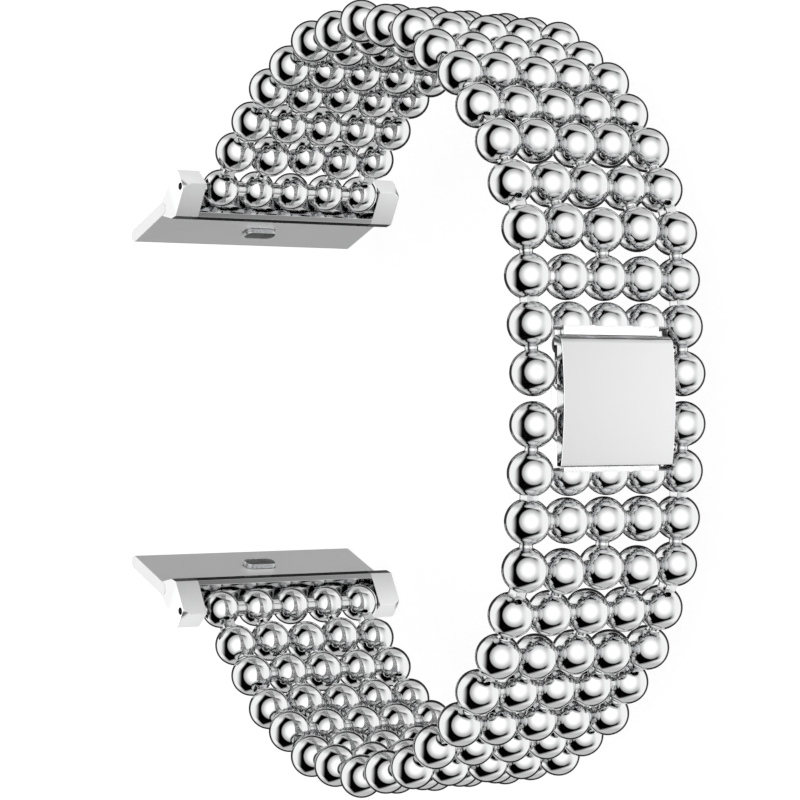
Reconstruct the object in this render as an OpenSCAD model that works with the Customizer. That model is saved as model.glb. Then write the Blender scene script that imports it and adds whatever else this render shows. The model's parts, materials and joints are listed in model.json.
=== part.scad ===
// Metal watch bracelet of round beads in five columns: a rigid link is two bead rows wide, and every
// second row is a hinge. A flat clasp joins the two halves, and a slide-in adapter ends each half.
// Frame: the bracelet lies on its edge with its hinge pins upright along Z. +X runs from the clasp to
// the adapters, Y runs across the loop, and Z = 0 is the adapters' lower faces. Millimetres.

/* [Beads] */
// Diameter of a full bead
bead_d = 4.5; // [4.45:0.01:4.52]
// Distance between neighbouring bead columns
column_pitch = 4.6; // [4.6:0.01:4.65]
// Distance between the two bead rows inside one link
row_pitch = 4.63; // [4.6:0.01:4.7]
// Distance from a hinge line to the next link's middle bead row
hinge_pitch = 4.95; // [4.9:0.01:5.05]
// Shift of the second and fourth hinge beads towards the adapter
bead_shift = 0.31; // [0.2:0.01:0.32]
// Diameter of the small beads on the adapter's pin
small_bead_d = 4.2; // [4:0.05:4.3]

/* [Hinges] */
// Diameter of a hinge pin
pin_d = 1; // [0.9:0.05:1]
// Radial clearance of a pin in the pieces that hold it
pin_fit = 0.01; // [0.01:0.005:0.02]
// Radial clearance of a pin in the pieces that turn on it
pin_play = 0.04; // [0.03:0.01:0.06]
// Thickness and height of the necks and tongues between beads
neck_t = 1.3; // [1.2:0.05:1.35]
// Outer diameter of a tongue's eye
eye_d = 2; // [1.9:0.05:2]
// Clearance on each side of a tongue in its slot
slot_play = 0.1; // [0.08:0.01:0.12]
// Clearance around an eye in its slot
eye_play = 0.15; // [0.1:0.01:0.2]
// Largest inward bend of one hinge in degrees
max_bend = 24; // [22:1:25]
// Metal left over the closed end of a pin hole
pin_cap = 0.95; // [0.8:0.05:1.1]
// Depth of a pin's lower end below the bead surface
pin_recess = 0.3; // [0.2:0.05:0.5]

/* [Clasp] */
// Distance from the clasp's middle to its inner bead rows
clasp_half = 2.47; // [2.45:0.01:2.6]
// Half the lid's width
lid_half_w = 6.85; // [6.7:0.01:6.86]
// Height of the lid's middle over the bead centres
lid_h = 1.79; // [1.75:0.01:1.9]
// Radius of the lid's outer curve along the bracelet
lid_bend_r = 40; // [38:1:45]
// Thickness of the lid's plate
lid_t = 0.6; // [0.5:0.05:0.6]
// Height of the lid walls' lower edges over the bead centres
lid_wall_h = 0.65; // [0.65:0.01:0.75]
// Upper end of the lid from the clasp's middle
lid_up = 6.06; // [6:0.01:6.07]
// Lower end of the lid from the clasp's middle
lid_down = 6.42; // [6.3:0.01:6.43]
// Travel of the tongue as it is pulled out
tongue_travel = 10; // [8:0.5:12]

/* [Adapters] */
// Width of an adapter across the bracelet
adapter_w = 28.9; // [28.5:0.1:29.5]
// Length of a rail's end face
rail_l = 8.32; // [8:0.02:8.6]
// Thickness of a rail
rail_t = 1.4; // [1.35:0.05:1.5]
// Clearance between a bead and the inner wall of an ear
ear_play = 0.1; // [0.08:0.01:0.15]
// Clearance between the small beads and the crossbar behind them
seat_play = 0.2; // [0.15:0.01:0.25]
// Travel of the latch as it is pressed in
latch_travel = 0.45; // [0.4:0.01:0.46]

/* [Hidden] */
$fn = 64;

// How the bracelet lies: each piece's direction from the clasp's line, in degrees, from the clasp's
// half piece through links 1 to 8 and the end link to the adapter
lie = [5.01, 5.42, 26.67, 41.67, 58.49, 78.27, 96.65, 116.34, 131.68, 139.56, 122.2];
end_link = len(lie) - 2;
adapter = len(lie) - 1;

bead_r = bead_d / 2;
small_bead_r = small_bead_d / 2;
pin_r = pin_d / 2;
tight_r = pin_r + pin_fit;
loose_r = pin_r + pin_play;
half_span = 2 * column_pitch;
bar_d = 1.8;
sleeve_inset = 0.4;
pin_end_play = 0.05;
link_l = row_pitch + hinge_pitch;
ends = [0, 4];
odd = [0, 2, 4];
inner = [1, 2, 3];
pairs = [1, 3];
columns = [0:4];

// Clasp heights are along X, with the outer side negative
slab_top = 0.6;
slab_low = 0.55;
bridge_half = 1.1;
plate_top = 0.65;
plate_low = 1.35;
plate_half_w = 5.7;
plate_tip = 5.9;
floor_top = 1.45;
floor_low = 2.25;
floor_end = 6.3;
floor_tab_half_w = 5.3;
floor_lap = 0.5;
tray_half_w = 6.6;
side_t = 0.7;
side_end = bridge_half - clasp_half;
strip_h = 0.45;
strip_half_w = 5.85;
strip_out = 7;
tray_strip_in = 6.12;
tongue_strip_in = 6.48;
strip_lip = 0.4;
strip_lap = 0.1;
lid_side_t = 0.6;
lid_axis_h = 0.52;
lid_round_r = 0.9;
lid_axis_y = lid_round_r - lid_up;
lid_barrel_r = 0.45;
lid_round_low = 0.2;
lid_round_lap = 0.1;
lid_pin_r = 0.3;
lid_pin_recess = 0.25;
knuckle_r = 0.5;
knuckle_w = 1.4;
knuckle_z = column_pitch / 2;
knuckle_low = 0.1;
knuckle_play = 0.08;
knuckle_side_play = 0.1;
lid_play = 0.1;
magnet_r = 1;
magnet_t = 0.5;
magnet_y = 4.3;
magnet_z = 3.2;
magnet_gap = 0.01;
magnet_open = 1;

ear_in = half_span + bead_r + ear_play;
tip_pin_r = 0.4;
tip_recess = 0.4;
// Outline of an adapter's ears and web about its pin, with the rail on the -x side
strap_outline = [[-5.9, 0.3], [-4.6, 0.85], [-1.6, 1.55], [0.35, 2], [1, -0.25], [-2.55, -2.2],
    [-3.5, -1.9], [-5.3, -0.2]];
ear_root = 2.05;
// Each ear's outer corner is cut off from this x on, by these lengths along x and z
ear_cut_x = 0.5;
ear_cut = [0.7, 1.4];
rail_centre = [-7.97, 0.76];
rail_tilt = -9.5;
rail_seam_turn = 33;
latch_w = 1.6;
latch_l = 4;
latch_out = 0.5;
latch_in = 0.05;
latch_play = 0.05;
recess_l = 6.4;
recess_w = 1.8;
spring_t = 0.15;
spring_gap = 0.01;
spring_side_play = 0.15;
spring_end_play = 0.2;

// Centre of hinge line k: 0 is at the clasp piece, and 9 is the adapter's pin
function reach(k) = k == 1 ? 2 * row_pitch : k == end_link ? hinge_pitch : link_l;
function along(k) = [sin(lie[k]), -cos(lie[k])];
function hinge(k) = k == 0 ? [0, -clasp_half] + row_pitch * along(0) : hinge(k - 1) + reach(k) * along(k);
function column_z(c) = (2 - c) * column_pitch;

mid_z = adapter_w / 2;
rail_dir = lie[adapter] + rail_tilt;
rail_from_pin = -rail_centre[0] * sin(lie[adapter]) - rail_centre[1] * cos(lie[adapter]);
far_x = hinge(end_link)[0] + rail_from_pin + (rail_l - rail_t) / 2 * sin(rail_dir) + rail_t / 2;
shift_x = -(far_x - bead_r) / 2;

module clasp_place() {
    translate([shift_x, 0, mid_z]) children();
}

// Puts a piece at hinge line h with its +x towards the clasp, its +y outwards and its z across
module place(h, turn) {
    clasp_place() translate([hinge(h)[0], hinge(h)[1], 0]) rotate([0, 0, 90 + turn]) children();
}

module lower() {
    mirror([0, 1, 0]) children();
}

module beads(list, x, r = bead_r) {
    for (c = list) translate([x, 0, column_z(c)]) sphere(r);
}

module necks(list, from, to) {
    for (c = list) translate([from, 0, column_z(c)]) rotate([0, 90, 0]) cylinder(d = neck_t, h = to - from);
}

module cross_rod(x, r, half) {
    translate([x, 0, -half]) cylinder(r = r, h = 2 * half);
}

// Flat tongues of the outer columns, each with a round eye
module tongues(from, to) {
    for (c = ends) translate([0, 0, column_z(c) - neck_t / 2]) {
        translate([from, -neck_t / 2, 0]) cube([to - from, neck_t, neck_t]);
        translate([to, 0, 0]) cylinder(d = eye_d, h = neck_t);
    }
}

// Slots of the outer columns' hinge beads, wide enough for the next piece's tongue to swing inwards
module slots() {
    up = neck_t / 2 + slot_play;
    far = bead_d * 0.75;
    swung = [up * sin(max_bend), -up * cos(max_bend)];
    for (c = ends) translate([0, 0, column_z(c)]) {
        cylinder(r = eye_d / 2 + eye_play, h = 2 * up, center = true);
        linear_extrude(2 * up, center = true)
            polygon([[0, up], [-far, up], swung - far * [cos(max_bend), sin(max_bend)], swung]);
    }
}

// Pin hole of the hinge beads at x = 0, open below and closed above
module hinge_hole() {
    low = half_span + bead_d;
    translate([0, 0, -low]) cylinder(r = loose_r, h = low + half_span + bead_r - pin_cap);
}

module link_shape(k) {
    tip = reach(k);
    color("silver") difference() {
        union() {
            beads(odd, 0);
            beads(columns, row_pitch);
            cross_rod(row_pitch, bar_d / 2, half_span);
            necks(odd, 0, row_pitch);
            tongues(row_pitch, tip);
            if (k > 1) {
                beads(pairs, tip - bead_shift);
                necks(pairs, row_pitch, tip - bead_shift);
            }
        }
        hinge_hole();
        slots();
        cross_rod(tip, tight_r, ear_in);
    }
}

module link(k) {
    place(k, lie[k]) link_shape(k);
}

module end_link() {
    sleeve = half_span + small_bead_r - sleeve_inset;
    place(end_link, lie[end_link]) color("silver") difference() {
        union() {
            beads(columns, 0, small_bead_r);
            cross_rod(0, bar_d / 2, sleeve);
            beads(pairs, hinge_pitch - bead_shift);
            necks(pairs, 0, hinge_pitch - bead_shift);
            tongues(0, hinge_pitch);
        }
        cross_rod(0, loose_r, ear_in);
        cross_rod(hinge_pitch, tight_r, ear_in);
    }
}

// Pin k is held by piece k and turns in the piece before it
module pin(k) {
    low = half_span + bead_r - pin_recess;
    high = half_span + bead_r - pin_cap - pin_end_play;
    place(k - 1, lie[k]) color("gray") translate([0, 0, -low]) cylinder(r = pin_r, h = low + high);
}

module adapter_pin() {
    tip = mid_z - tip_recess;
    place(end_link, lie[adapter]) color("gray") {
        cross_rod(0, pin_r, ear_in - pin_end_play);
        cross_rod(0, tip_pin_r, tip);
    }
}

module rail_frame() {
    translate([rail_centre[0], rail_centre[1], 0]) rotate([0, 0, rail_tilt]) children();
}

// A bar with round ends across the rail: x is its width, z its length and y from low to high
module latch_bar(w, l, low, high) {
    round_z = (l - w) / 2;
    translate([0, low, 0]) {
        translate([-w / 2, 0, -round_z]) cube([w, high - low, 2 * round_z]);
        for (s = [-1, 1]) translate([0, 0, s * round_z]) rotate([-90, 0, 0]) cylinder(d = w, h = high - low);
    }
}

// What is cut off the outer corner of one ear's tip
module ear_corner(s) {
    rotate([90, 0, 0]) linear_extrude(2 * bead_d, center = true)
        polygon([[ear_cut_x, s * mid_z], [ear_cut_x + ear_cut[0], s * (mid_z - ear_cut[1])],
            [ear_cut_x + ear_cut[0], s * adapter_w], [ear_cut_x, s * adapter_w]]);
}

module adapter() {
    cap = (rail_l - rail_t) / 2;
    place(end_link, lie[adapter]) color("gainsboro") difference() {
        union() {
            linear_extrude(adapter_w, center = true) polygon(strap_outline);
            rail_frame() {
                translate([-cap, -rail_t / 2, -mid_z]) cube([2 * cap, rail_t, adapter_w]);
                // The turn keeps each round end's own seam off the flat faces
                for (s = [-1, 1])
                    translate([s * cap, 0, 0]) rotate([0, 0, rail_seam_turn])
                        cross_rod(0, rail_t / 2, mid_z);
            }
        }
        cross_rod(0, small_bead_r + seat_play, ear_in);
        translate([-ear_root, -bead_d, -ear_in]) cube([2 * bead_d, 2 * bead_d, 2 * ear_in]);
        for (s = [-1, 1]) ear_corner(s);
        cross_rod(0, tip_pin_r + pin_fit, adapter_w);
        rail_frame() {
            latch_bar(latch_w + 2 * latch_play, latch_l + 2 * latch_play, -rail_t, rail_t);
            translate([-recess_w / 2, 0, -recess_l / 2]) cube([recess_w, rail_t, recess_l]);
        }
    }
}

module latch() {
    place(end_link, lie[adapter]) color("silver") rail_frame()
        latch_bar(latch_w, latch_l, -rail_t / 2 - latch_out, latch_in);
}

module latch_spring() {
    place(end_link, lie[adapter]) color("gray") rail_frame()
        translate([-recess_w / 2 + spring_side_play, latch_in + spring_gap, -recess_l / 2 + spring_end_play])
            cube([recess_w - 2 * spring_side_play, spring_t, recess_l - 2 * spring_end_play]);
}

// A block in the clasp's own axes: heights from h0 to h1 along X and lengths from y0 to y1 along Y
module block(h0, h1, y0, y1, half_w) {
    translate([h0, y0, -half_w]) cube([h1 - h0, y1 - y0, 2 * half_w]);
}

// Beads of a clasp end, with its upper side towards the links
module clasp_beads(low) {
    place(0, lie[0]) {
        beads(ends, 0);
        beads(ends, row_pitch);
        necks(ends, 0, row_pitch);
    }
    intersection() {
        place(0, lie[0]) beads(inner, 0);
        clasp_place() block(-bead_d, bead_d, -2 * bead_d - strip_out, -strip_out, half_span);
    }
    intersection() {
        place(0, lie[0]) beads(inner, row_pitch);
        clasp_place() block(-slab_top, low, -strip_out, 0, half_span);
    }
    clasp_place() block(-slab_low, low, -clasp_half - bridge_half, -clasp_half + bridge_half, half_span);
}

module magnet_discs(h, t, r) {
    for (s = [-1, 1]) translate([h, -magnet_y, s * magnet_z]) rotate([0, 90, 0]) cylinder(r = r, h = t);
}

module magnet_holes(h) {
    magnet_discs(h, magnet_open + magnet_t + magnet_gap, magnet_r + magnet_gap);
}

module clasp_tray() {
    color("silver") difference() {
        union() {
            clasp_beads(slab_low);
            clasp_place() {
                block(-strip_h, floor_low, -strip_out - strip_lap, -tray_strip_in, strip_half_w);
                block(floor_top, floor_low, -strip_out, side_end, tray_half_w);
                block(floor_top, floor_low, side_end - floor_lap, floor_end, floor_tab_half_w);
                for (s = [-1, 1]) translate([0, 0, s * (tray_half_w - side_t / 2)]) difference() {
                    block(0, floor_low, -strip_out + strip_lip, side_end, side_t / 2);
                    translate([-lid_axis_h, lid_axis_y, 0])
                        cylinder(r = lid_round_r + lid_play, h = 2 * side_t, center = true);
                }
                for (s = [-1, 1]) translate([0, 0, s * knuckle_z]) {
                    block(-slab_top, -knuckle_low, lid_axis_y, -clasp_half, knuckle_w / 2);
                    translate([-lid_axis_h, lid_axis_y, 0])
                        cylinder(r = knuckle_r, h = knuckle_w, center = true);
                }
            }
        }
        place(0, lie[0]) {
            hinge_hole();
            slots();
        }
        clasp_place() {
            translate([-lid_axis_h, lid_axis_y, 0])
                cylinder(r = lid_pin_r + pin_play, h = adapter_w, center = true);
            magnet_holes(floor_top - magnet_open);
        }
    }
}

module clasp_tongue() {
    color("silver") difference() {
        union() {
            lower() clasp_beads(plate_low);
            clasp_place() {
                block(plate_top, plate_low, -plate_tip, strip_out, plate_half_w);
                block(-strip_h, floor_low, tongue_strip_in, strip_out + strip_lap, strip_half_w);
            }
        }
        lower() place(0, lie[0]) {
            hinge_hole();
            slots();
        }
        clasp_place() magnet_holes(plate_low - magnet_t - magnet_gap);
    }
}

// The lid's outer curve is centred between its two ends
module lid_curve(drop) {
    translate([lid_bend_r - lid_h, (lid_down - lid_up) / 2, 0])
        cylinder(r = lid_bend_r - drop, h = 2 * adapter_w, center = true, $fn = 360);
}

module clasp_lid() {
    notch_r = knuckle_r + knuckle_play;
    clasp_place() color("gainsboro") difference() {
        union() {
            difference() {
                intersection() {
                    block(-2 * lid_h, -lid_wall_h, lid_axis_y, lid_down, lid_half_w);
                    lid_curve(0);
                }
                intersection() {
                    block(-2 * lid_h, 0, -lid_up, lid_down - lid_side_t, lid_half_w - lid_side_t);
                    lid_curve(lid_t);
                }
            }
            translate([-lid_axis_h, lid_axis_y, 0]) {
                cylinder(r = lid_barrel_r, h = 2 * lid_half_w, center = true);
                intersection() {
                    cylinder(r = lid_round_r, h = 2 * lid_half_w, center = true);
                    block(-2 * lid_round_r, lid_axis_h - lid_round_low, -2 * lid_round_r, lid_round_lap,
                        lid_half_w);
                }
            }
        }
        translate([-lid_axis_h, lid_axis_y, 0]) {
            cylinder(r = lid_pin_r + pin_fit, h = adapter_w, center = true);
            for (s = [-1, 1]) translate([0, 0, s * knuckle_z])
                cylinder(r = notch_r, h = knuckle_w + 2 * knuckle_side_play, center = true);
        }
    }
}

module lid_pin() {
    clasp_place() color("gray") translate([-lid_axis_h, lid_axis_y, 0])
        cylinder(r = lid_pin_r, h = 2 * (lid_half_w - lid_pin_recess), center = true);
}

module tray_magnets() {
    clasp_place() color("dimgray") magnet_discs(floor_top + magnet_gap, magnet_t - magnet_gap, magnet_r);
}

module tongue_magnets() {
    clasp_place() color("dimgray") magnet_discs(plate_low - magnet_t, magnet_t - magnet_gap, magnet_r);
}

clasp_tray();
clasp_tongue();
clasp_lid();
lid_pin();
tray_magnets();
tongue_magnets();
link(1);  // upper_link_1
link(2);  // upper_link_2
link(3);  // upper_link_3
link(4);  // upper_link_4
link(5);  // upper_link_5
link(6);  // upper_link_6
link(7);  // upper_link_7
link(8);  // upper_link_8
end_link();  // upper_end_link
adapter();  // upper_adapter
adapter_pin();  // upper_adapter_pin
latch();  // upper_latch
latch_spring();  // upper_latch_spring
pin(1);  // upper_pin_1
pin(2);  // upper_pin_2
pin(3);  // upper_pin_3
pin(4);  // upper_pin_4
pin(5);  // upper_pin_5
pin(6);  // upper_pin_6
pin(7);  // upper_pin_7
pin(8);  // upper_pin_8
pin(9);  // upper_pin_9
lower() link(1);  // lower_link_1
lower() link(2);  // lower_link_2
lower() link(3);  // lower_link_3
lower() link(4);  // lower_link_4
lower() link(5);  // lower_link_5
lower() link(6);  // lower_link_6
lower() link(7);  // lower_link_7
lower() link(8);  // lower_link_8
lower() end_link();  // lower_end_link
lower() adapter();  // lower_adapter
lower() adapter_pin();  // lower_adapter_pin
lower() latch();  // lower_latch
lower() latch_spring();  // lower_latch_spring
lower() pin(1);  // lower_pin_1
lower() pin(2);  // lower_pin_2
lower() pin(3);  // lower_pin_3
lower() pin(4);  // lower_pin_4
lower() pin(5);  // lower_pin_5
lower() pin(6);  // lower_pin_6
lower() pin(7);  // lower_pin_7
lower() pin(8);  // lower_pin_8
lower() pin(9);  // lower_pin_9
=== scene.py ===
import bpy, bmesh, json, math
from mathutils import Matrix, Vector


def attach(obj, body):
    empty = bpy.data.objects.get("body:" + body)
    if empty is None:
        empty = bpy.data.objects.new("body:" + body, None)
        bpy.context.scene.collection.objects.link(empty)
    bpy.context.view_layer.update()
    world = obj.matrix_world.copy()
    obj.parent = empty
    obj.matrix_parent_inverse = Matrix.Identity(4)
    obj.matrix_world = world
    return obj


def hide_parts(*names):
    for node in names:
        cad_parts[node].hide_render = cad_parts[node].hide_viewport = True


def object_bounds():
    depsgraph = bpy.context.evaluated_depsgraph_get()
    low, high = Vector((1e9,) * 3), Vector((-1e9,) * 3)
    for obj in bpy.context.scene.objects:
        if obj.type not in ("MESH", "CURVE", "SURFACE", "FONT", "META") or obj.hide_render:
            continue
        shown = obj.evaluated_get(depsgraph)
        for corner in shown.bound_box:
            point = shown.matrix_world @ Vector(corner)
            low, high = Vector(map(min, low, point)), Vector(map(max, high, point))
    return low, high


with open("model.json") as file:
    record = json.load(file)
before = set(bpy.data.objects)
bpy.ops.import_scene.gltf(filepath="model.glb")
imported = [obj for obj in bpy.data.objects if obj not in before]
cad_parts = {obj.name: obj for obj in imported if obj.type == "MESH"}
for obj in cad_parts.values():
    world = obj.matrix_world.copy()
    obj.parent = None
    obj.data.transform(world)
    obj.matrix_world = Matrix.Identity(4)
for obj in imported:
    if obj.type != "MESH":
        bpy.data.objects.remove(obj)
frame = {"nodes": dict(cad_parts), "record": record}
cad_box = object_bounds()
nodes = frame["nodes"]
slots = {s["node"]: s["material_slot"] for s in frame["record"]["subparts"]}

# Sizes, in millimetres as in the CAD model
MM = 0.001
SIDES = (("upper", 1), ("lower", -1))

# Beads and the distances between their rows and columns
BEAD_R = 2.25
SMALL_BEAD_R = 2.1
COLUMNS = 5
COLUMN_PITCH = 4.6
ROW_PITCH = 4.63
HINGE_PITCH = 4.95
BEAD_SHIFT = 0.31
ADAPTER_W = 28.9
HALF_SPAN = (COLUMNS - 1) / 2 * COLUMN_PITCH
MID_Z = ADAPTER_W / 2

# Links: necks, cross bars, and the tongues with eyes in the slots of the next beads
NECK_T = 1.3
BAR_R = 0.9
SLEEVE_INSET = 0.4
TONGUE_ROOT = 1.0
EYE_R = 1.0
SLOT_PLAY = 0.1
EYE_PLAY = 0.15
SLOT_UP = NECK_T / 2 + SLOT_PLAY
SLOT_R = EYE_R + EYE_PLAY
SLOT_FAR = 1.5 * BEAD_R
MAX_BEND = 24.0
# A neck's flare into a bead: how much wider it is, and how far along from where it leaves the bead
NECK_FLARE = [(0.10, -0.12), (0.05, -0.01), (0.0, 0.06)]

# Hinge pins and their holes
PIN_R = 0.5
PIN_FIT = 0.01
PIN_PLAY = 0.04
PIN_RECESS = 0.3
PIN_CAP = 0.95
PIN_END_PLAY = 0.05
PIN_CHAMFER = 0.06
# The open pin hole ends in the slot, this far past the bead's middle
HOLE_END = 0.2

# Clasp ends: half the gap between their bead rows, the bars under the lid and the end strips
CLASP_HALF = 2.47
BRIDGE_HALF = 1.1
SLAB_TOP = 0.6
SLAB_LOW = 0.55
STRIP_H = 0.45
STRIP_HALF_W = 5.85
STRIP_OUT = 7.0
STRIP_LIP = 0.4
STRIP_LAP = 0.1
TRAY_STRIP_IN = 6.12
TONGUE_STRIP_IN = 6.48

# The tongue's flat plate and the tray's floor and side walls
PLATE_TOP = 0.65
PLATE_LOW = 1.35
PLATE_TIP = 5.9
PLATE_HALF_W = 5.7
FLOOR_TOP = 1.45
FLOOR_LOW = 2.25
FLOOR_END = 6.3
FLOOR_TAB_HALF_W = 5.3
TRAY_HALF_W = 6.6
SIDE_T = 0.7
SIDE_END = BRIDGE_HALF - CLASP_HALF

# Magnets, with their faces a gap short of the tray's and tongue's
MAGNET_R = 1.0
MAGNET_T = 0.5
MAGNET_Y = -4.3
MAGNET_Z = 3.2
MAGNET_GAP = 0.01
MAGNET_CHAMFER = 0.08

# Lid: a hollow, slightly curved plate with a round hinge end
LID_HALF_W = 6.85
LID_H = 1.79
LID_BEND_R = 40.0
LID_T = 0.6
LID_SIDE_T = 0.6
LID_WALL_H = 0.65
LID_UP = 6.06
LID_DOWN = 6.42
LID_AXIS_H = 0.52
LID_ROUND_R = 0.9
LID_ROUND_TURN = 109
LID_ROUND_LOW = 0.2
LID_ROUND_LAP = 0.1
LID_PLAY = 0.1
LID_AXIS_Y = LID_ROUND_R - LID_UP
# The lid is hollow from this far past its hinge axis
LID_HOLLOW = 0.62
LID_PIN_R = 0.3
LID_PIN_RECESS = 0.25
# A fine groove round the lid's hinge end, at this angle about the hinge axis
GROOVE_R = 0.07
GROOVE_ANGLE = 223

# Knuckles of the tray, which the lid's pin goes through
KNUCKLE_R = 0.5
KNUCKLE_W = 1.4
KNUCKLE_Z = COLUMN_PITCH / 2
KNUCKLE_LOW = 0.1
KNUCKLE_PLAY = 0.08
KNUCKLE_SIDE_PLAY = 0.1
# The arm of a knuckle is narrower than its barrel by this much on each side
ARM_INSET = 0.02

# Adapters: ears on the end link's pin, a web behind its beads, and a rail with a latch
EAR_PLAY = 0.1
EAR_IN = HALF_SPAN + BEAD_R + EAR_PLAY
SEAT_PLAY = 0.2
SEAT_R = SMALL_BEAD_R + SEAT_PLAY
TIP_R = 0.4
TIP_RECESS = 0.4
TIP_CHAMFER = 0.05
# Outline of an adapter's ears and web about its pin, with the rail on the -x side
STRAP_OUTLINE = [(-5.9, 0.3), (-4.6, 0.85), (-1.6, 1.55), (0.35, 2), (1, -0.25), (-2.55, -2.2),
                 (-3.5, -1.9), (-5.3, -0.2)]
# The space between the ears is open from EAR_ROOT, on the rail's side of the pin, to EAR_FAR
EAR_ROOT = 2.05
EAR_FAR = 8.0
# Each ear's outer corner is cut off from this x on, by these lengths along x and z
EAR_CUT_X = 0.5
EAR_CUT = (0.7, 1.4)
# The ears' colour carries a painted shade between these places on x, darkest at the first
EAR_SHADE = (-2.6, 0.9)
RAIL_CENTRE = (-7.97, 0.76)
RAIL_TILT = -9.5
RAIL_L = 8.32
RAIL_T = 1.4
LATCH_L = 4.0
LATCH_W = 1.6
LATCH_OUT = 0.5
LATCH_IN = 0.05
LATCH_PLAY = 0.05
RECESS_L = 6.4
RECESS_W = 1.8

# Widths of the eased edges
FINE_EDGE = 0.04
STRIP_EDGE = 0.05
EDGE = 0.06
PLATE_EDGE = 0.1
LATCH_EDGE = 0.12
LID_EDGE = 0.13
STRAP_EDGE = 0.14
# Where two solids of one piece would share a face, one of them ends this much short
SUNK = 0.05
# Cutters with no size of their own reach this far past a piece's end or middle
CUT_PAST = 1.0
# Room allowed when faces are told apart by their places
NEAR = 0.01

# How the bracelet lies: each piece's direction from the clasp's line, in degrees, from the clasp's half
# through links 1 to 8 and the end link to the adapter
LIE = [5.01, 5.42, 26.67, 41.67, 58.49, 78.27, 96.65, 116.34, 131.68, 139.56, 122.2]
END_LINK = len(LIE) - 2
ADAPTER = len(LIE) - 1


def reach(k):
    """Length of piece k, from its own hinge line to the one towards the clasp."""
    return 2 * ROW_PITCH if k == 1 else HINGE_PITCH if k == END_LINK else ROW_PITCH + HINGE_PITCH


def along(k):
    return math.sin(math.radians(LIE[k])), -math.cos(math.radians(LIE[k]))


# Hinge line 0 is at the clasp piece, and the last one is the adapter's pin
HINGE = [(ROW_PITCH * along(0)[0], -CLASP_HALF + ROW_PITCH * along(0)[1])]
for k in range(1, END_LINK + 1):
    HINGE.append((HINGE[-1][0] + reach(k) * along(k)[0], HINGE[-1][1] + reach(k) * along(k)[1]))

# The clasp's outer beads touch the low x side of the CAD model's box
CLASP_X = cad_box[0][0] / MM + BEAD_R
LID_AXIS = (-LID_AXIS_H, LID_AXIS_Y, 0)
RAIL_PLACE = (Matrix.Translation((*RAIL_CENTRE, 0))
              @ Matrix.Rotation(math.radians(RAIL_TILT), 4, "Z"))


def column_z(c):
    return ((COLUMNS - 1) / 2 - c) * COLUMN_PITCH


# Materials
def new_material(name):
    """A material without nodes, and the functions that add a node and a link to it."""
    material = bpy.data.materials.new(name)
    material.use_nodes = True
    tree = material.node_tree
    tree.nodes.clear()
    return material, tree.nodes.new, tree.links.new


def map_range(add, link, source, start, end, low, high):
    """The source's values from start to end become values from low to high."""
    mapped = add("ShaderNodeMapRange")
    mapped.inputs["From Min"].default_value = start
    mapped.inputs["From Max"].default_value = end
    mapped.inputs["To Min"].default_value = low
    mapped.inputs["To Max"].default_value = high
    link(source, mapped.inputs["Value"])
    return mapped.outputs["Result"]


def noise(add, link, place, scale, detail, roughness):
    texture = add("ShaderNodeTexNoise")
    texture.inputs["Scale"].default_value = scale
    texture.inputs["Detail"].default_value = detail
    texture.inputs["Roughness"].default_value = roughness
    link(place, texture.inputs["Vector"])
    return texture.outputs["Fac"]


def metal(name, color, rough, scale, bump, grain=(1, 1, 1), painted_shade=None):
    """Polished or brushed metal. Its roughness drifts between two values with fine smudges. Its grain is
    noise of this scale, pressed together by the grain's factors along the axes, which darkens the colour a
    little and gives a faint bump. A painted shade (axis, from, to, factor), in millimetres, dims the colour
    by the factor towards the first place on the axis, so one side of the piece is painted darker."""
    darker = 0.96
    material, add, link = new_material(name)
    out = add("ShaderNodeOutputMaterial")
    surface = add("ShaderNodeBsdfPrincipled")
    surface.inputs["Metallic"].default_value = 1.0
    surface.inputs["IOR"].default_value = 2.5
    link(surface.outputs["BSDF"], out.inputs["Surface"])
    coord = add("ShaderNodeTexCoord")
    smudge = noise(add, link, coord.outputs["Object"], scale=420.0, detail=4.0, roughness=0.6)
    mapping = add("ShaderNodeMapping")
    mapping.inputs["Scale"].default_value = grain
    link(coord.outputs["Object"], mapping.inputs["Vector"])
    fine = noise(add, link, mapping.outputs["Vector"], scale, detail=6.0, roughness=0.55)
    roughness = map_range(add, link, smudge, start=0.3, end=0.7, low=rough[0], high=rough[1])
    link(roughness, surface.inputs["Roughness"])
    mix = add("ShaderNodeMix")
    mix.data_type = "RGBA"
    mix.inputs["A"].default_value = (*color, 1)
    mix.inputs["B"].default_value = (*(c * darker for c in color), 1)
    link(fine, mix.inputs["Factor"])
    shade = mix.outputs["Result"]
    # Painted shade: the colour darkens towards one end of an axis of the piece
    if painted_shade:
        axis, start, end, factor = painted_shade
        xyz = add("ShaderNodeSeparateXYZ")
        link(coord.outputs["Object"], xyz.inputs["Vector"])
        dimmed = add("ShaderNodeVectorMath")
        dimmed.operation = "SCALE"
        link(shade, dimmed.inputs[0])
        share = map_range(add, link, xyz.outputs[axis], start * MM, end * MM, low=factor, high=1.0)
        link(share, dimmed.inputs["Scale"])
        shade = dimmed.outputs["Vector"]
    link(shade, surface.inputs["Base Color"])
    relief = add("ShaderNodeBump")
    relief.inputs["Strength"].default_value = bump
    relief.inputs["Distance"].default_value = 0.00002
    link(fine, relief.inputs["Height"])
    link(relief.outputs["Normal"], surface.inputs["Normal"])
    return material


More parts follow.
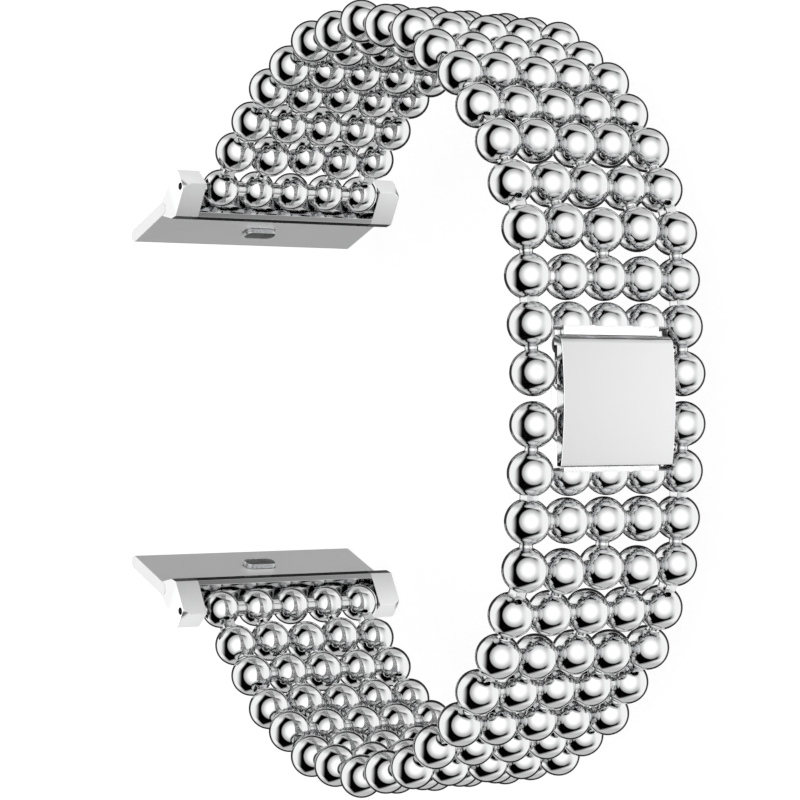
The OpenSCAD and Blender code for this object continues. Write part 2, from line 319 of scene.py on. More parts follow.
bead_steel = metal("bead_steel", (0.60, 0.602, 0.606), rough=(0.02, 0.05), scale=2500, bump=0.03)
clasp_steel = metal("clasp_steel", (0.60, 0.602, 0.606), rough=(0.05, 0.10), scale=2500, bump=0.04)
# A lighter satin steel for the clasp's flat parts; on the lid's eased edges it is a painted highlight
strip_steel = metal("strip_steel", (0.93, 0.93, 0.935), rough=(0.38, 0.42), scale=900, bump=0.08,
                    grain=(1, 1, 30))
# Painted shade: the lid's plate is darker towards its +z side, down to 0.87 of its colour
lid_steel = metal("lid_steel", (0.67, 0.67, 0.675), rough=(0.42, 0.45), scale=900, bump=0.08,
                  grain=(1, 1, 30), painted_shade=("Z", LID_HALF_W, -LID_HALF_W, 0.87))
# Painted shade: the ears' steel is darker towards the rail, down to 0.70 of its colour at the first place on
# x
adapter_steel = metal("adapter_steel", (0.97, 0.972, 0.975), rough=(0.28, 0.30), scale=1500, bump=0.06,
                      grain=(1, 1, 25), painted_shade=("X", *EAR_SHADE, 0.70))
rail_steel = metal("rail_steel", (0.80, 0.80, 0.805), rough=(0.50, 0.52), scale=1500, bump=0.06,
                   grain=(1, 1, 25))
# Near-black steel: painted shade in the adapters' bores, in the lid's groove and on a band of the lid's eased
# edges
painted_shade_steel = metal("painted_shade_steel", (0.10, 0.10, 0.105), rough=(0.45, 0.55), scale=900, bump=0.1,
                   grain=(1, 1, 8))
latch_steel = metal("latch_steel", (0.52, 0.525, 0.53), rough=(0.22, 0.32), scale=900, bump=0.12,
                    grain=(1, 20, 1))
pin_steel = metal("pin_steel", (0.45, 0.455, 0.46), rough=(0.22, 0.34), scale=900, bump=0.12,
                  grain=(1, 1, 12))
spring_steel = metal("spring_steel", (0.38, 0.385, 0.40), rough=(0.25, 0.38), scale=900, bump=0.15,
                     grain=(1, 1, 18))
nickel = metal("nickel", (0.55, 0.54, 0.52), rough=(0.12, 0.22), scale=1500, bump=0.08)

BY_SLOT = {
    "bead_steel": bead_steel,
    "clasp_steel": clasp_steel,
    "lid_steel": lid_steel,
    "adapter_steel": adapter_steel,
    "latch_steel": latch_steel,
    "pin_steel": pin_steel,
    "spring_steel": spring_steel,
    "magnet": nickel,
}
for name, obj in nodes.items():
    obj.data.materials.clear()
    obj.data.materials.append(BY_SLOT[slots[name]])


# Mesh helpers
def ball(bm, centre, r):
    made = bmesh.ops.create_uvsphere(bm, u_segments=56, v_segments=28, radius=r)
    bmesh.ops.translate(bm, verts=made["verts"], vec=centre)


def block(low, high):
    """A new block between two corners."""
    bm = bmesh.new()
    for v in bmesh.ops.create_cube(bm, size=1.0)["verts"]:
        v.co = Vector([a + (t + 0.5) * (b - a) for a, b, t in zip(low, high, v.co)])
    return bm


def lathe(bm, profile, seg, axis="z", at=(0, 0, 0)):
    """A closed turned solid from (radius, height) pairs."""
    rings = []
    for r, h in profile:
        ring = []
        for i in range(seg):
            t = 2 * math.pi * i / seg
            a, b = r * math.cos(t), r * math.sin(t)
            place = Vector((a, b, h) if axis == "z" else (h, a, b))
            ring.append(bm.verts.new(place + Vector(at)))
        rings.append(ring)
    for lower_ring, upper_ring in zip(rings, rings[1:]):
        for i in range(seg):
            j = (i + 1) % seg
            bm.faces.new((lower_ring[i], lower_ring[j], upper_ring[j], upper_ring[i]))
    bm.faces.new(list(reversed(rings[0])))
    bm.faces.new(rings[-1])


def rod(bm, r, low, high, seg, at=(0, 0, 0), axis="z", chamfer=0.0):
    """A rod along its axis, with chamfered ends if there is a chamfer."""
    profile = [(r, low), (r, high)]
    if chamfer:
        profile = [(r - chamfer, low), (r, low + chamfer), (r, high - chamfer), (r - chamfer, high)]
    lathe(bm, profile, seg, axis, at)


def rod_cutter(r, low, high, seg, at=(0, 0, 0), axis="z"):
    bm = bmesh.new()
    rod(bm, r, low, high, seg, at, axis)
    return bm


def extrude(bm, points, low, high, order="xyz"):
    """A closed prism: each point's two values and the heights go to the axes named, in turn, by order."""
    spots = ["xyz".index(letter) for letter in order]

    def corner(point, height):
        co = [0, 0, 0]
        for spot, value in zip(spots, (*point, height)):
            co[spot] = value
        return bm.verts.new(co)

    near, far = [[corner(p, h) for p in points] for h in (low, high)]
    n = len(points)
    for i in range(n):
        j = (i + 1) % n
        bm.faces.new((near[i], near[j], far[j], far[i]))
    bm.faces.new(list(reversed(near)))
    bm.faces.new(far)


def stadium(length, width):
    """Outline with two round ends: its length is along the first axis."""
    steps = 20
    straight, r = (length - width) / 2, width / 2
    points = []
    for s, start in ((1, -90), (-1, 90)):
        for i in range(steps + 1):
            t = math.radians(start + 180 * i / steps)
            points.append((s * straight + r * math.cos(t), r * math.sin(t)))
    return points


def rectangle(x0, x1, y0, y1):
    return [(x0, y0), (x1, y0), (x1, y1), (x0, y1)]


def to_mesh(bm, name):
    bmesh.ops.recalc_face_normals(bm, faces=bm.faces)
    mesh = bpy.data.meshes.new(name)
    bm.to_mesh(mesh)
    bm.free()
    return mesh


def carve(bm, cutters, name, bevel=0.0):
    """The solid of bm less the cutters, its sharp edges eased, as a new bmesh."""
    body = bpy.data.objects.new(name, to_mesh(bm, name))
    bpy.context.scene.collection.objects.link(body)
    made = [body]
    for cutter in cutters:
        tool = bpy.data.objects.new(name + "_cut", to_mesh(cutter, name + "_cut"))
        bpy.context.scene.collection.objects.link(tool)
        made.append(tool)
        cut = body.modifiers.new("cut", "BOOLEAN")
        cut.operation = "DIFFERENCE"
        cut.solver = "EXACT"
        cut.object = tool
    if bevel:
        ease = body.modifiers.new("bevel", "BEVEL")
        ease.width = bevel
        ease.segments = 2
        ease.limit_method = "ANGLE"
        ease.angle_limit = math.radians(40)
    bpy.context.view_layer.update()
    evaluated = body.evaluated_get(bpy.context.evaluated_depsgraph_get())
    carved = bmesh.new()
    carved.from_mesh(evaluated.to_mesh())
    evaluated.to_mesh_clear()
    for obj in made:
        mesh = obj.data
        bpy.data.objects.remove(obj)
        bpy.data.meshes.remove(mesh)
    return carved


def solid(points, low, high, order="xyz", cutters=(), bevel=EDGE):
    bm = bmesh.new()
    extrude(bm, points, low, high, order)
    return carve(bm, cutters, "solid", bevel)


def join(bm, other, slot=0):
    """Moves the faces of the other bmesh into bm, in one material slot."""
    for f in other.faces:
        f.material_index = slot
    mesh = bpy.data.meshes.new("part")
    other.to_mesh(mesh)
    other.free()
    bm.from_mesh(mesh)
    bpy.data.meshes.remove(mesh)


def shift(bm, vec):
    bmesh.ops.translate(bm, verts=bm.verts, vec=vec)
    return bm


def mirror_y(bm):
    for v in bm.verts:
        v.co.y = -v.co.y
    bmesh.ops.reverse_faces(bm, faces=bm.faces)


def finish_mesh(bm, name, mirror=False, angle=35):
    """A mesh in metres, smooth but for the edges sharper than the angle."""
    if mirror:
        mirror_y(bm)
    for v in bm.verts:
        v.co *= MM
    for f in bm.faces:
        f.smooth = True
    for e in bm.edges:
        e.smooth = len(e.link_faces) != 2 or e.calc_face_angle(0.0) < math.radians(angle)
    mesh = bpy.data.meshes.new(name)
    bm.to_mesh(mesh)
    bm.free()
    return mesh


def hinge_place(hinge, lie, side=1):
    """From the axes of a piece at a hinge line to the clasp's axes, on the upper (1) or lower (-1) half."""
    x, y = HINGE[hinge]
    turn = math.radians(side * (90 + LIE[lie]))
    return Matrix.Translation((x, side * y, 0)) @ Matrix.Rotation(turn, 4, "Z")


def put(name, mesh, materials, body, node, place=None, flat=False):
    """Adds a piece that rides on a body and replaces a node, in the clasp's axes or placed in them."""
    obj = bpy.data.objects.new(name, mesh)
    if not mesh.materials:
        for material in materials:
            mesh.materials.append(material)
    if flat:
        obj.modifiers.new("flat_faces", "WEIGHTED_NORMAL").keep_sharp = True
    obj.matrix_world = Matrix.Translation((CLASP_X * MM, 0, MID_Z * MM))
    if place is not None:
        moved = place.copy()
        moved.translation *= MM
        obj.matrix_world = obj.matrix_world @ moved
    bpy.context.scene.collection.objects.link(obj)
    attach(obj, body)
    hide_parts(node)


# Beads and links, each in the axes of its hinge line away from the clasp: +x is towards the clasp
def slot_cutters():
    """The slot of a hinge bead, wide enough for the next piece's tongue to swing inwards."""
    bend = math.radians(MAX_BEND)
    swung = (SLOT_UP * math.sin(bend), -SLOT_UP * math.cos(bend))
    wedge = bmesh.new()
    outline = [(0, SLOT_UP), (-SLOT_FAR, SLOT_UP),
               (swung[0] - SLOT_FAR * math.cos(bend), swung[1] - SLOT_FAR * math.sin(bend)), swung]
    extrude(wedge, outline, -SLOT_UP, SLOT_UP)
    return [rod_cutter(SLOT_R, -SLOT_UP, SLOT_UP, seg=40), wedge]


def slotted_ball(open_below):
    bm = bmesh.new()
    ball(bm, (0, 0, 0), BEAD_R)
    cutters = slot_cutters()
    if open_below:
        cutters.append(rod_cutter(PIN_R + PIN_PLAY, -BEAD_R - SLOT_UP, HOLE_END, seg=32))
    return carve(bm, cutters, "slotted", bevel=FINE_EDGE)


def neck(bm, x0, x1, r0, r1, z):
    """A short turned neck between two beads, flared into both."""
    r = NECK_T / 2
    start = x0 + math.sqrt(r0 * r0 - r * r)
    end = x1 - math.sqrt(r1 * r1 - r * r)
    profile = [(r + wider, start + inwards) for wider, inwards in NECK_FLARE]
    profile += [(r + wider, end - inwards) for wider, inwards in reversed(NECK_FLARE)]
    lathe(bm, profile, seg=28, axis="x", at=(0, 0, z))


def tongue(x0, x1, z):
    """A flat tongue with a round eye, its edges eased."""
    half = NECK_T / 2
    spread = math.asin(half / EYE_R)
    steps = 28
    outline = [(x0, -half)]
    for i in range(steps + 1):
        t = -math.pi + spread + (2 * math.pi - 2 * spread) * i / steps
        outline.append((x1 + EYE_R * math.cos(t), EYE_R * math.sin(t)))
    outline.append((x0, half))
    hole = rod_cutter(PIN_R + PIN_FIT, -CUT_PAST, CUT_PAST, seg=24, at=(x1, 0, 0))
    return shift(solid(outline, -half, half, cutters=[hole]), (0, 0, z))


slotted_closed, slotted_open = slotted_ball(False), slotted_ball(True)


def add_slotted(bm):
    """The outer columns' hinge beads: the upper one hides the pin's end."""
    join(bm, shift(slotted_closed.copy(), (0, 0, column_z(0))))
    join(bm, shift(slotted_open.copy(), (0, 0, column_z(4))))


def link_mesh(k, mirror):
    """Two rows of beads in one piece; the links by the clasp have no beads on their second hinge line."""
    bm = bmesh.new()
    tip = reach(k)
    add_slotted(bm)
    ball(bm, (0, 0, 0), BEAD_R)
    for c in range(COLUMNS):
        ball(bm, (ROW_PITCH, 0, column_z(c)), BEAD_R)
    rod(bm, BAR_R, -HALF_SPAN, HALF_SPAN, seg=32, at=(ROW_PITCH, 0, 0))
    for c in (0, 2, 4):
        neck(bm, 0, ROW_PITCH, BEAD_R, BEAD_R, column_z(c))
    for c in (0, 4):
        join(bm, tongue(ROW_PITCH + TONGUE_ROOT, tip, column_z(c)))
    if k > 1:
        for c in (1, 3):
            ball(bm, (tip - BEAD_SHIFT, 0, column_z(c)), BEAD_R)
            neck(bm, ROW_PITCH, tip - BEAD_SHIFT, BEAD_R, BEAD_R, column_z(c))
    return finish_mesh(bm, f"link_{'first' if k == 1 else 'double'}_{'lower' if mirror else 'upper'}", mirror)


def end_link_mesh(mirror):
    bm = bmesh.new()
    for c in range(COLUMNS):
        ball(bm, (0, 0, column_z(c)), SMALL_BEAD_R)
    sleeve = HALF_SPAN + SMALL_BEAD_R - SLEEVE_INSET
    rod(bm, BAR_R, -sleeve, sleeve, seg=32)
    for c in (1, 3):
        ball(bm, (HINGE_PITCH - BEAD_SHIFT, 0, column_z(c)), BEAD_R)
        neck(bm, 0, HINGE_PITCH - BEAD_SHIFT, SMALL_BEAD_R, BEAD_R, column_z(c))
    for c in (0, 4):
        join(bm, tongue(BAR_R, HINGE_PITCH, column_z(c)))
    return finish_mesh(bm, f"end_link_{'lower' if mirror else 'upper'}", mirror)


def pin_mesh():
    bm = bmesh.new()
    low = HALF_SPAN + BEAD_R - PIN_RECESS
    high = HALF_SPAN + BEAD_R - PIN_CAP - PIN_END_PLAY
    rod(bm, PIN_R, -low, high, seg=28, chamfer=PIN_CHAMFER)
    return finish_mesh(bm, "pin")


def adapter_pin_mesh():
    """A pin with a thinner tip at each end."""
    bm = bmesh.new()
    shoulder, tip = EAR_IN - PIN_END_PLAY, MID_Z - TIP_RECESS
    half = [(PIN_R, shoulder - FINE_EDGE), (PIN_R - FINE_EDGE, shoulder), (TIP_R, shoulder),
            (TIP_R, tip - TIP_CHAMFER), (TIP_R - TIP_CHAMFER, tip)]
    lathe(bm, [(r, -z) for r, z in reversed(half)] + half, seg=28)
    return finish_mesh(bm, "pin_with_tips")


pin_data, adapter_pin_data = pin_mesh(), adapter_pin_mesh()
for side, sign in SIDES:
    first, double, end = link_mesh(1, sign < 0), link_mesh(2, sign < 0), end_link_mesh(sign < 0)
    for k in range(1, END_LINK + 1):
        name = f"{side}_link_{k}" if k < END_LINK else f"{side}_end_link"
        data = end if k == END_LINK else first if k == 1 else double
        put(f"{name}_beads", data, [bead_steel], name, name, hinge_place(k, k, sign))
        put(f"{side}_pin_{k}_steel", pin_data, [pin_steel], name, f"{side}_pin_{k}",
            hinge_place(k - 1, k, sign))
    put(f"{side}_adapter_pin_steel", adapter_pin_data, [pin_steel], f"{side}_adapter",
        f"{side}_adapter_pin", hinge_place(END_LINK, ADAPTER, sign))


# Clasp, in its own axes: heights outwards are -x, and lengths along the bracelet are y
def half_ball(centre, planes):
    """A ball cut flat by planes given as (point, outward normal)."""
    bm = bmesh.new()
    ball(bm, centre, BEAD_R)
    for point, normal in planes:
        cut = bmesh.ops.bisect_plane(bm, geom=bm.verts[:] + bm.edges[:] + bm.faces[:], plane_co=point,
                                     plane_no=normal, clear_outer=True)
        rim = [e for e in cut["geom_cut"] if isinstance(e, bmesh.types.BMEdge)]
        bmesh.ops.contextual_create(bm, geom=rim)
    return bm


def clasp_end(low):
    """The tray's or tongue's beads, and the bar that joins them down to the height low."""
    bm = bmesh.new()
    add_slotted(bm)
    for c in (0, 4):
        ball(bm, (ROW_PITCH, 0, column_z(c)), BEAD_R)
        neck(bm, 0, ROW_PITCH, BEAD_R, BEAD_R, column_z(c))
    place = hinge_place(0, 0)
    bmesh.ops.transform(bm, matrix=place, verts=bm.verts)
    outer, inner = [place @ Vector((x, 0, 0)) for x in (0, ROW_PITCH)]
    beside_strip = [((0, -STRIP_OUT, 0), (0, 1, 0))]
    below_lid = [((-SLAB_TOP, 0, 0), (-1, 0, 0)), ((low, 0, 0), (1, 0, 0))]
    for c in (1, 2, 3):
        join(bm, half_ball((outer.x, outer.y, column_z(c)), beside_strip))
        join(bm, half_ball((inner.x, inner.y, column_z(c)), below_lid))
    bar = rectangle(-SLAB_LOW, low, -CLASP_HALF - BRIDGE_HALF, -CLASP_HALF + BRIDGE_HALF)
    join(bm, solid(bar, -HALF_SPAN, HALF_SPAN), 1)
    return bm


def magnet_cutters(low, high):
    r = MAGNET_R + MAGNET_GAP
    return [rod_cutter(r, low, high, seg=40, at=(0, MAGNET_Y, s * MAGNET_Z), axis="x") for s in (-1, 1)]


def clasp_tray_mesh():
    bm = clasp_end(SLAB_LOW)
    deep = FLOOR_LOW - SUNK
    strip = rectangle(-STRIP_H, deep, -STRIP_OUT - STRIP_LAP, -TRAY_STRIP_IN)
    join(bm, solid(strip, -STRIP_HALF_W, STRIP_HALF_W, bevel=STRIP_EDGE), 1)
    wide = TRAY_HALF_W - SUNK
    floor_outline = [(-STRIP_OUT, -wide), (SIDE_END, -wide), (SIDE_END, -FLOOR_TAB_HALF_W),
                     (FLOOR_END, -FLOOR_TAB_HALF_W), (FLOOR_END, FLOOR_TAB_HALF_W),
                     (SIDE_END, FLOOR_TAB_HALF_W), (SIDE_END, wide), (-STRIP_OUT, wide)]
    pockets = magnet_cutters(FLOOR_TOP - MAGNET_T, FLOOR_TOP + MAGNET_T + MAGNET_GAP)
    join(bm, solid(floor_outline, FLOOR_TOP, FLOOR_LOW, "yzx", pockets, PLATE_EDGE), 1)
    side_wall = rectangle(0, deep, -STRIP_OUT + STRIP_LIP, SIDE_END)
    arm = rectangle(-SLAB_TOP, -KNUCKLE_LOW, LID_AXIS_Y, -CLASP_HALF)
    arm_half = KNUCKLE_W / 2 - ARM_INSET
    for s in (-1, 1):
        z = s * (TRAY_HALF_W - SIDE_T / 2)
        notch = rod_cutter(LID_ROUND_R + LID_PLAY, z - CUT_PAST, z + CUT_PAST, seg=64, at=LID_AXIS)
        join(bm, solid(side_wall, z - SIDE_T / 2, z + SIDE_T / 2, cutters=[notch]), 1)
        z = s * KNUCKLE_Z
        join(bm, solid(arm, z - arm_half, z + arm_half, bevel=FINE_EDGE), 1)
        rod(bm, KNUCKLE_R, z - KNUCKLE_W / 2, z + KNUCKLE_W / 2, seg=32, at=LID_AXIS, chamfer=FINE_EDGE)
    return finish_mesh(bm, "clasp_tray")


def clasp_tongue_mesh():
    bm = clasp_end(PLATE_LOW)
    mirror_y(bm)
    plate = rectangle(-PLATE_TIP, STRIP_OUT, -PLATE_HALF_W, PLATE_HALF_W)
    pockets = magnet_cutters(PLATE_LOW - MAGNET_T - MAGNET_GAP, PLATE_LOW + MAGNET_T)
    join(bm, solid(plate, PLATE_TOP, PLATE_LOW, "yzx", pockets, PLATE_EDGE), 1)
    strip = rectangle(-STRIP_H, FLOOR_LOW, TONGUE_STRIP_IN, STRIP_OUT + STRIP_LAP)
    join(bm, solid(strip, -STRIP_HALF_W, STRIP_HALF_W, bevel=STRIP_EDGE), 1)
    return finish_mesh(bm, "clasp_tongue")


def lid_curve(y, drop=0.0):
    """Height of the lid's outer curve, or of one this far below it."""
    middle = (LID_DOWN - LID_UP) / 2
    return LID_BEND_R - LID_H - math.sqrt((LID_BEND_R - drop) ** 2 - (y - middle) ** 2)


def lid_arc(start, end, steps, drop=0.0):
    """Points of the curve from one length to another."""
    lengths = [start + (end - start) * i / steps for i in range(steps + 1)]
    return [(lid_curve(y, drop), y) for y in lengths]


def lid_round(angle):
    """A point on the lid's round end, at an angle in degrees about the hinge axis."""
    t = math.radians(angle)
    return -LID_AXIS_H + LID_ROUND_R * math.cos(t), LID_AXIS_Y + LID_ROUND_R * math.sin(t)


def lid_slot(face, groove):
    """The lid's material slot for a face, from its place and how far it turns to a side: part of the eased
    edge takes a painted highlight, and the groove and the part of the edge next to the side take painted
    shade.
    """
    # The dark slot is painted shade on the groove and the edge band next to the side; the edge slot is the
    # lighter strip steel as a painted highlight
    plate, side, edge, dark = range(4)
    flat_side, outer_edge, inner_edge = 0.97, 0.7, 0.2
    centre = face.calc_center_median()
    across = abs(face.normal.z)
    if math.hypot(centre.x - groove[0], centre.y - groove[1]) < GROOVE_R + NEAR:
        return dark
    if across >= flat_side:
        return side
    if across > outer_edge:
        return dark
    return edge if across > inner_edge else plate


def clasp_lid_mesh():
    profile = list(reversed(lid_arc(LID_AXIS_Y, LID_DOWN, steps=40)[1:]))
    steps = 21
    profile += [lid_round(180 + LID_ROUND_TURN * i / steps) for i in range(steps + 1)]
    back = LID_AXIS_Y + LID_ROUND_LAP
    profile += [(-LID_ROUND_LOW, back), (-LID_WALL_H, back), (-LID_WALL_H, LID_DOWN)]
    hollow = bmesh.new()
    low, high = LID_AXIS_Y + LID_HOLLOW, LID_DOWN - LID_SIDE_T
    half = LID_HALF_W - LID_SIDE_T
    extrude(hollow, lid_arc(low, high, steps=24, drop=LID_T) + [(0, high), (0, low)], -half, half)
    notch_r, notch_half = KNUCKLE_R + KNUCKLE_PLAY, KNUCKLE_W / 2 + KNUCKLE_SIDE_PLAY
    cutters = []
    for s in (-1, 1):
        z = s * KNUCKLE_Z
        cutters.append(rod_cutter(notch_r, z - notch_half, z + notch_half, seg=32, at=LID_AXIS))
    groove = lid_round(GROOVE_ANGLE)
    end = LID_HALF_W + CUT_PAST
    cutters.append(rod_cutter(GROOVE_R, -end, end, seg=20, at=(*groove, 0)))
    # The bevel comes before the small cuts, which would narrow it
    lid = carve(solid(profile, -LID_HALF_W, LID_HALF_W, cutters=[hollow], bevel=LID_EDGE), cutters, "lid")
    lid.normal_update()
    for f in lid.faces:
        f.material_index = lid_slot(f, groove)
    return finish_mesh(lid, "clasp_lid")


def magnets_mesh(low, high):
    bm = bmesh.new()
    for s in (-1, 1):
        centre = (0, MAGNET_Y, s * MAGNET_Z)
        rod(bm, MAGNET_R, low, high, seg=40, at=centre, axis="x", chamfer=MAGNET_CHAMFER)
    return finish_mesh(bm, "magnets")


def lid_pin_mesh():
    bm = bmesh.new()
    half = LID_HALF_W - LID_PIN_RECESS
    rod(bm, LID_PIN_R, -half, half, seg=24, at=LID_AXIS, chamfer=FINE_EDGE)
    return finish_mesh(bm, "lid_pin")


clasp_metals = [clasp_steel, strip_steel]
lid_metals = [lid_steel, clasp_steel, strip_steel, painted_shade_steel]
put("clasp_tray_body", clasp_tray_mesh(), clasp_metals, "tray", "clasp_tray", flat=True)
put("clasp_tongue_body", clasp_tongue_mesh(), clasp_metals, "tongue", "clasp_tongue", flat=True)
put("clasp_lid_body", clasp_lid_mesh(), lid_metals, "lid", "clasp_lid", flat=True)
put("lid_pin_steel", lid_pin_mesh(), [pin_steel], "lid", "lid_pin")
put("tray_magnet_discs", magnets_mesh(FLOOR_TOP + MAGNET_GAP, FLOOR_TOP + MAGNET_T), [nickel],
    "tray", "tray_magnets")
put("tongue_magnet_discs", magnets_mesh(PLATE_LOW - MAGNET_T, PLATE_LOW - MAGNET_GAP), [nickel],
    "tongue", "tongue_magnets")


# Adapters, in the axes of their pin
def ear_corner(s):
    """What is cut off the outer corner of one ear's tip."""
    past = CUT_PAST / 2
    low_x = EAR_CUT_X - past * EAR_CUT[0] / EAR_CUT[1]
    high_x = EAR_CUT_X + EAR_CUT[0]
    triangle = [(low_x, s * (MID_Z + past)), (high_x, s * (MID_Z - EAR_CUT[1])), (high_x, s * (MID_Z + past))]
    bm = bmesh.new()
    extrude(bm, triangle, -2 * BEAD_R, 2 * BEAD_R, "xzy")
    bmesh.ops.recalc_face_normals(bm, faces=bm.faces)
    return bm


def latch_outline(play):
    """Outline of the latch, or of its hole with this play round it, with its length along z."""
    return [(across, lengthwise) for lengthwise, across in stadium(LATCH_L + 2 * play, LATCH_W + 2 * play)]


def adapter_mesh(mirror):
    hole_r = TIP_R + PIN_FIT
    between_ears = block((-EAR_ROOT, -2 * BEAD_R, -EAR_IN), (EAR_FAR, 2 * BEAD_R, EAR_IN))
    cutters = [rod_cutter(SEAT_R, -EAR_IN, EAR_IN, seg=64), between_ears,
               rod_cutter(hole_r, -ADAPTER_W, ADAPTER_W, seg=32), ear_corner(-1), ear_corner(1)]
    bm = solid(STRAP_OUTLINE, -MID_Z + SUNK, MID_Z - SUNK, cutters=cutters, bevel=STRAP_EDGE)
    for z in (-EAR_IN, EAR_IN):
        bmesh.ops.bisect_plane(bm, geom=bm.verts[:] + bm.edges[:] + bm.faces[:], plane_co=(0, 0, z),
                               plane_no=(0, 0, 1))
    ear, web, bore, rail_slot = range(4)
    for f in bm.faces:
        centre = f.calc_center_median()
        in_bore = math.hypot(centre.x, centre.y) < hole_r + NEAR
        # Faces in the ears' bore take the near-black steel, a painted shade in the hole
        f.material_index = web if abs(centre.z) < EAR_IN + NEAR else bore if in_bore else ear
    latch_hole = bmesh.new()
    extrude(latch_hole, latch_outline(LATCH_PLAY), -RAIL_T, RAIL_T, "xzy")
    recess = block((-RECESS_W / 2, 0, -RECESS_L / 2), (RECESS_W / 2, RAIL_T, RECESS_L / 2))
    rail = solid(stadium(RAIL_L, RAIL_T), -MID_Z, MID_Z, cutters=[latch_hole, recess], bevel=PLATE_EDGE)
    bmesh.ops.transform(rail, matrix=RAIL_PLACE, verts=rail.verts)
    join(bm, rail, rail_slot)
    return finish_mesh(bm, "adapter_lower" if mirror else "adapter_upper", mirror, angle=32)


def latch_mesh(mirror):
    bm = solid(latch_outline(0), -RAIL_T / 2 - LATCH_OUT, LATCH_IN, "xzy", bevel=LATCH_EDGE)
    bmesh.ops.transform(bm, matrix=RAIL_PLACE, verts=bm.verts)
    return finish_mesh(bm, "latch", mirror, angle=32)


adapter_metals = [adapter_steel, clasp_steel, painted_shade_steel, rail_steel]
for side, sign in SIDES:
    place = hinge_place(END_LINK, ADAPTER, sign)
    put(f"{side}_adapter_body", adapter_mesh(sign < 0), adapter_metals, f"{side}_adapter",
        f"{side}_adapter", place, flat=True)
    put(f"{side}_latch_button", latch_mesh(sign < 0), [latch_steel], f"{side}_latch",
        f"{side}_latch", place, flat=True)

# Camera, turned to the clasp from the lower edge's side, with the photograph's top towards -y
VIEW_ANGLE = math.radians(34.20)
VIEW_FROM = (-0.250732, 0.0, 0.186588)
PHOTO_PX = 800
RAISED_PX = -1.32
right = Vector((-math.sin(VIEW_ANGLE), 0, -math.cos(VIEW_ANGLE)))
up = Vector((0, -1, 0))
back = Vector((-math.cos(VIEW_ANGLE), 0, math.sin(VIEW_ANGLE)))
cam_data = bpy.data.cameras.new("camera")
cam_data.lens = 128.84
cam_data.sensor_width = 36.0
cam_data.sensor_fit = "HORIZONTAL"
cam_data.shift_y = RAISED_PX / PHOTO_PX
cam_data.clip_start = 0.01
cam_data.clip_end = 10.0
cam = bpy.data.objects.new("camera", cam_data)
cam.matrix_world = Matrix.Translation(VIEW_FROM) @ Matrix((right, up, back)).transposed().to_4x4()
bpy.context.scene.collection.objects.link(cam)
bpy.context.scene.camera = cam

# White paper under the bracelet: it shows a faint shadow, and mirror surfaces look through it at the studio
paper, add, link = new_material("paper")
out = add("ShaderNodeOutputMaterial")
lit = add("ShaderNodeBsdfDiffuse")
lit.inputs["Color"].default_value = (0.34, 0.34, 0.34, 1)
glow = add("ShaderNodeEmission")
glow.inputs["Strength"].default_value = 0.80
seen = add("ShaderNodeAddShader")
link(lit.outputs["BSDF"], seen.inputs[0])
link(glow.outputs["Emission"], seen.inputs[1])
clear = add("ShaderNodeBsdfTransparent")
pick = add("ShaderNodeMixShader")
ray = add("ShaderNodeLightPath")
link(ray.outputs["Is Glossy Ray"], pick.inputs["Fac"])
link(seen.outputs["Shader"], pick.inputs[1])
link(clear.outputs["BSDF"], pick.inputs[2])
link(pick.outputs["Shader"], out.inputs["Surface"])

# Half the floor's side and how far it lies below the bracelet, in metres
FLOOR_HALF = 1.5
FLOOR_DROP = 0.0001
floor_data = bpy.data.meshes.new("floor")
floor_corners = rectangle(-FLOOR_HALF, FLOOR_HALF, -FLOOR_HALF, FLOOR_HALF)
floor_data.from_pydata([(x, y, 0) for x, y in floor_corners], [], [(0, 1, 2, 3)])
floor_data.materials.append(paper)
floor = bpy.data.objects.new("floor", floor_data)
floor.location = (0, 0, -FLOOR_DROP)
bpy.context.scene.collection.objects.link(floor)

# A white studio. Mirror surfaces also see a dark wall on the camera's side with a round soft light in it,
# and a dark edge far behind the object. Directions are turned into places on a mirror ball as the camera
# sees it, from -1 to 1 across and up
STUDIO = 1.62
SURROUND = 0.93
# The surround is dimmer beyond the wall's upper and lower ends, between these heights and widths
ENDS_DIM = 0.40
ENDS_UP = (0.50, 0.72)
ENDS_ACROSS = (0.85, 0.45)
# The dark edge, by its radii on the ball
RIM_R = (0.88, 0.92)
RIM_DIM = 0.97
# The wall's sides, each a line from one place to another with the wall on its left, and how soft each is
WALL_SIDES = [
    ((-0.59, 0.9), (-0.59, -0.9), 0.13),
    ((-0.25, 0.68), (-0.57, 0.25), 0.06),
    ((-0.56, -0.50), (-0.30, -0.76), 0.05),
    ((-0.25, -0.74), (0.63, -0.45), 0.05),
    ((0.53, -0.9), (0.53, 0.9), 0.14),
    ((0.64, 0.46), (-0.24, 0.70), 0.04),
]
LIGHT_AT = (0.14, 0.03)
LIGHT_R = 0.53
LIGHT_SOFT = 0.05
LIGHT_MIDDLE = 1.08
# The round light falls off by this much from the first radius to the second
LIGHT_FALL = 0.70
LIGHT_FALL_R = (0.20, 0.54)
# What rough surfaces are lit by, and what the camera sees behind everything
SOFT_LIGHT = 0.75
BACKDROP = 1.0

world = bpy.data.worlds.new("world")
bpy.context.scene.world = world
world.use_nodes = True
world.node_tree.nodes.clear()
add, link = world.node_tree.nodes.new, world.node_tree.links.new
path = add("ShaderNodeLightPath")


def calculate(operation, *values):
    """A maths node whose values are numbers or other nodes' outputs."""
    result = add("ShaderNodeMath")
    result.operation = operation
    for socket, value in zip(result.inputs, values):
        if isinstance(value, (int, float)):
            socket.default_value = value
        else:
            link(value, socket)
    return result.outputs[0]


def times(a, b):
    return calculate("MULTIPLY", a, b)


def plus(a, b):
    return calculate("ADD", a, b)


def minus(a, b):
    return calculate("SUBTRACT", a, b)


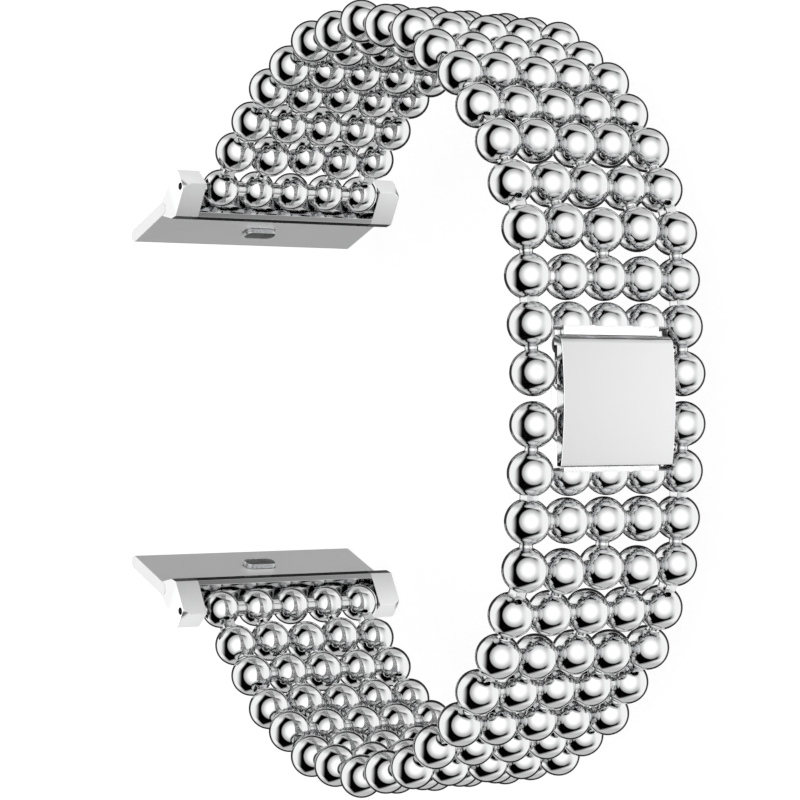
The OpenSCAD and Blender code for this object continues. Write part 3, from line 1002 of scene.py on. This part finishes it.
def dot(vector, axis):
    product = add("ShaderNodeVectorMath")
    product.operation = "DOT_PRODUCT"
    link(vector, product.inputs[0])
    product.inputs[1].default_value = axis
    return product.outputs["Value"]


def smooth(value, start, end):
    """0 up to the start and 1 from the end on, with a smooth step between them."""
    step = add("ShaderNodeMapRange")
    step.interpolation_type = "SMOOTHSTEP"
    step.inputs["From Min"].default_value = start
    step.inputs["From Max"].default_value = end
    link(value, step.inputs["Value"])
    return step.outputs["Result"]


def left_of(x, y, start, end, soft):
    """1 on the left of the line from start to end, 0 on its right, over a soft edge."""
    dx, dy = end[0] - start[0], end[1] - start[1]
    length = math.hypot(dx, dy)
    away = plus(times(x, -dy / length), times(y, dx / length))
    return smooth(plus(away, (dy * start[0] - dx * start[1]) / length), -soft, soft)


def background(strength):
    """A white background whose strength is a number or another node's output."""
    sky = add("ShaderNodeBackground")
    sky.inputs["Color"].default_value = (1, 1, 1, 1)
    if isinstance(strength, float):
        sky.inputs["Strength"].default_value = strength
    else:
        link(strength, sky.inputs["Strength"])
    return sky.outputs["Background"]


def choose(ray_kind, otherwise, chosen):
    """The chosen shader for one kind of ray."""
    mix = add("ShaderNodeMixShader")
    link(path.outputs[ray_kind], mix.inputs["Fac"])
    link(otherwise, mix.inputs[1])
    link(chosen, mix.inputs[2])
    return mix.outputs["Shader"]


direction = add("ShaderNodeTexCoord").outputs["Generated"]
to_right, to_up, to_back = dot(direction, right), dot(direction, up), dot(direction, back)
# The ball's normal halves the angle between a direction and the way back to the camera
halve = calculate("INVERSE_SQRT", calculate("MAXIMUM", calculate("MULTIPLY_ADD", to_back, 2.0, 2.0), 0.0005))
ball_x, ball_y = times(to_right, halve), times(to_up, halve)
ball_r = calculate("SQRT", calculate("MAXIMUM", calculate("MULTIPLY_ADD", to_back, -0.5, 0.5), 0.0))

wall = None
for start, end, soft in WALL_SIDES:
    inside = left_of(ball_x, ball_y, start, end, soft)
    wall = inside if wall is None else times(wall, inside)
light_x, light_y = minus(ball_x, LIGHT_AT[0]), minus(ball_y, LIGHT_AT[1])
light_r = calculate("SQRT", plus(times(light_x, light_x), times(light_y, light_y)))
light_level = minus(LIGHT_MIDDLE, times(smooth(light_r, *LIGHT_FALL_R), LIGHT_FALL))
round_light = times(smooth(light_r, LIGHT_R, LIGHT_R - LIGHT_SOFT), light_level)
ends = times(smooth(calculate("ABSOLUTE", ball_y), *ENDS_UP),
             smooth(calculate("ABSOLUTE", ball_x), *ENDS_ACROSS))
rim = smooth(ball_r, *RIM_R)

outside = times(minus(1.0, wall), minus(SURROUND, times(ends, ENDS_DIM)))
studio = times(plus(outside, times(wall, round_light)), minus(1.0, times(rim, RIM_DIM)))

sky_out = add("ShaderNodeOutputWorld")
lighting = choose("Is Glossy Ray", background(SOFT_LIGHT), background(times(studio, STUDIO)))
link(choose("Is Camera Ray", lighting, background(BACKDROP)), sky_out.inputs["Surface"])

bpy.context.scene.view_settings.view_transform = "Standard"
